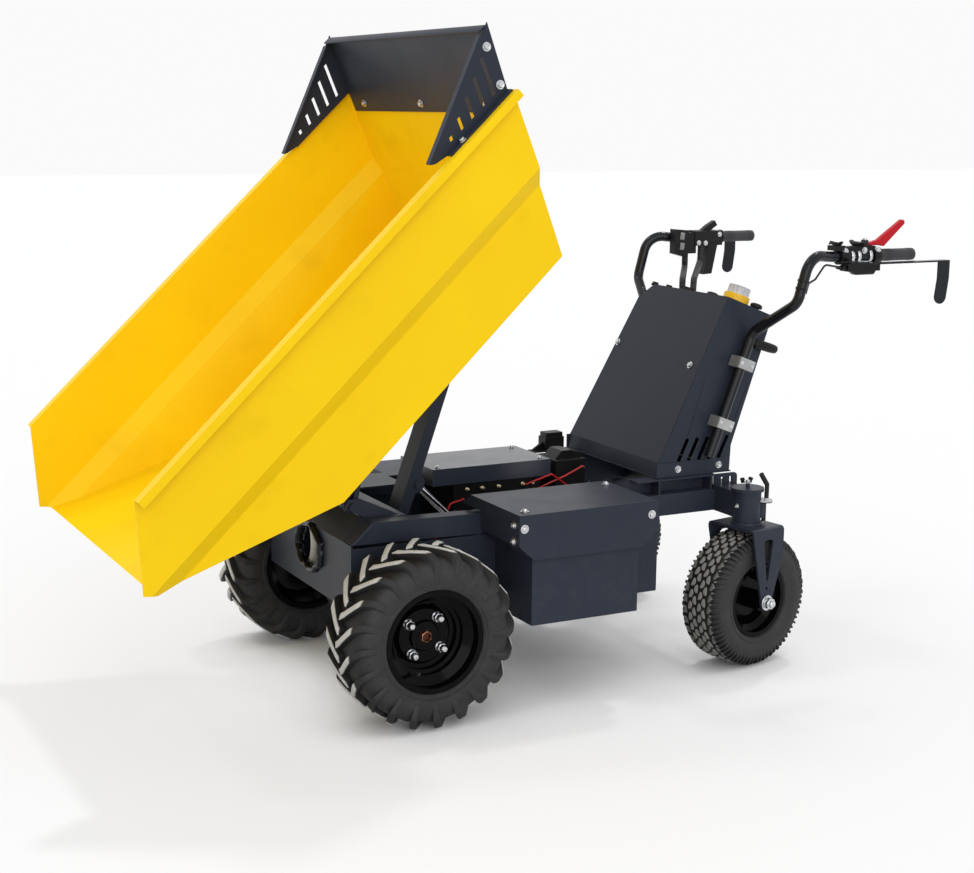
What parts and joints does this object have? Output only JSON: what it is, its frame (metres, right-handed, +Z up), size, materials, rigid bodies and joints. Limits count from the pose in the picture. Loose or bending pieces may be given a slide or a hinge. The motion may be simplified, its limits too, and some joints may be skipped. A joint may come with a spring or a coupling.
{
  "type": "walk-behind electric site dumper",
  "caption": "Walk-behind powered site dumper with a tipped open-fronted bed, head guard, battery boxes, console with handlebars, lugged drive wheels and swivelling rear wheels.",
  "frame": {"origin": "on the ground under the middle of the bounding box", "axes": "+X towards the dump end, +Y to the left of the vehicle, +Z up"},
  "size_m": [2.0486, 0.9236, 1.5168],
  "materials": {
    "bed_yellow": "gloss yellow paint",
    "frame_dark": "satin anthracite powder coat",
    "rim_black": "gloss black enamel",
    "tyre_rubber": "black rubber",
    "chrome_rod": "ground and chromed",
    "grip_rubber": "black rubber",
    "tube_black": "gloss black paint",
    "housing_black": "textured black plastic",
    "lever_red": "red anodised look paint",
    "beacon_yellow": "yellow plastic",
    "beacon_clear": "clear lens",
    "clamp_grey": "grey plastic",
    "hose_black": "corrugated black plastic",
    "motor_black": "black painted casting",
    "wire_red": "red insulation"
  },
  "bodies": {
    "chassis": {"nose_frame": "frame_dark", "side_rails": "frame_dark", "side_panels": "frame_dark", "floor_pan": "frame_dark", "pivot_shaft": "frame_dark", "axle_unit": "motor_black", "drive_motor": "motor_black", "battery_boxes": "frame_dark", "battery_covers": "frame_dark", "controller_lid": "frame_dark", "controller_block": "housing_black", "rear_frame": "frame_dark", "console_shelf": "frame_dark", "console_sides": "frame_dark", "console_front": "frame_dark", "console_back": "frame_dark", "handlebars": "tube_black", "tube_clamps": "clamp_grey", "grips": "grip_rubber", "guard_bars": "tube_black", "lever_clamps": "housing_black", "park_lever": "lever_red", "switch_boxes": "housing_black", "conduits": "hose_black", "beacon_base": "beacon_yellow", "beacon_lens": "beacon_clear", "caster_housings": "frame_dark", "wiring": "wire_red", "brake_cable": "hose_black", "rest_pads": "housing_black", "console_controls": "housing_black", "lock_levers": "chrome_rod", "charger_unit": "housing_black"},
    "bed": {"bed_shell": "bed_yellow", "bed_subframe": "bed_yellow", "head_guard": "frame_dark", "guard_wings": "frame_dark"},
    "lift_arm": {"lift_arm": "frame_dark"},
    "cylinder_barrel": {"cylinder_barrel": "frame_dark"},
    "cylinder_rod": {"cylinder_rod": "chrome_rod"},
    "drive_wheel_left": {"drive_tyre_left": "tyre_rubber", "drive_rim_left": "rim_black"},
    "caster_fork_left": {"caster_fork_left": "frame_dark"},
    "caster_wheel_left": {"caster_tyre_left": "tyre_rubber", "caster_rim_left": "rim_black"},
    "drive_wheel_right": {"drive_tyre_right": "tyre_rubber", "drive_rim_right": "rim_black"},
    "caster_fork_right": {"caster_fork_right": "frame_dark"},
    "caster_wheel_right": {"caster_tyre_right": "tyre_rubber", "caster_rim_right": "rim_black"}
  },
  "joints": [
    {"name": "bed_tip", "type": "hinge", "parent": "chassis", "child": "bed", "pos_m": [0.45774, 0, 0.462], "axis": [0, 1, 0], "range_deg": [-43.95, 0]},
    {"name": "lift_arm_swing", "type": "hinge", "parent": "chassis", "child": "lift_arm", "pos_m": [0.28074, 0.03, 0.372], "axis": [0, 1, 0], "range_deg": [-54.71, 0]},
    {"name": "cylinder_swing", "type": "hinge", "parent": "chassis", "child": "cylinder_barrel", "pos_m": [-0.00726, 0.03, 0.238], "axis": [0, 1, 0], "range_deg": [0, 4.78]},
    {"name": "rod_slide", "type": "slide", "parent": "cylinder_barrel", "child": "cylinder_rod", "axis": [0.7221, 0, 0.6918], "range_m": [-0.0952, 0]},
    {"name": "drive_spin_left", "type": "hinge", "parent": "chassis", "child": "drive_wheel_left", "pos_m": [0.36774, 0.3613, 0.203], "axis": [0, 1, 0], "continuous": true},
    {"name": "caster_swivel_left", "type": "hinge", "parent": "chassis", "child": "caster_fork_left", "pos_m": [-0.53426, 0.3205, 0.3515], "axis": [0, 0, 1], "continuous": true},
    {"name": "caster_spin_left", "type": "hinge", "parent": "caster_fork_left", "child": "caster_wheel_left", "pos_m": [-0.53426, 0.3205, 0.166], "axis": [-0.1891, 0.982, 0], "continuous": true},
    {"name": "drive_spin_right", "type": "hinge", "parent": "chassis", "child": "drive_wheel_right", "pos_m": [0.36774, -0.3613, 0.203], "axis": [0, 1, 0], "continuous": true},
    {"name": "caster_swivel_right", "type": "hinge", "parent": "chassis", "child": "caster_fork_right", "pos_m": [-0.53426, -0.3205, 0.3515], "axis": [0, 0, 1], "continuous": true},
    {"name": "caster_spin_right", "type": "hinge", "parent": "caster_fork_right", "child": "caster_wheel_right", "pos_m": [-0.53426, -0.3205, 0.166], "axis": [-0.1891, 0.982, 0], "continuous": true}
  ],
  "couplings": [
    {"joint": "lift_arm_swing", "follows": "bed_tip", "ratio": 1.2446},
    {"joint": "cylinder_swing", "follows": "bed_tip", "ratio": -0.1085},
    {"joint": "rod_slide", "follows": "bed_tip", "m_per_rad": 0.12398}
  ]
}
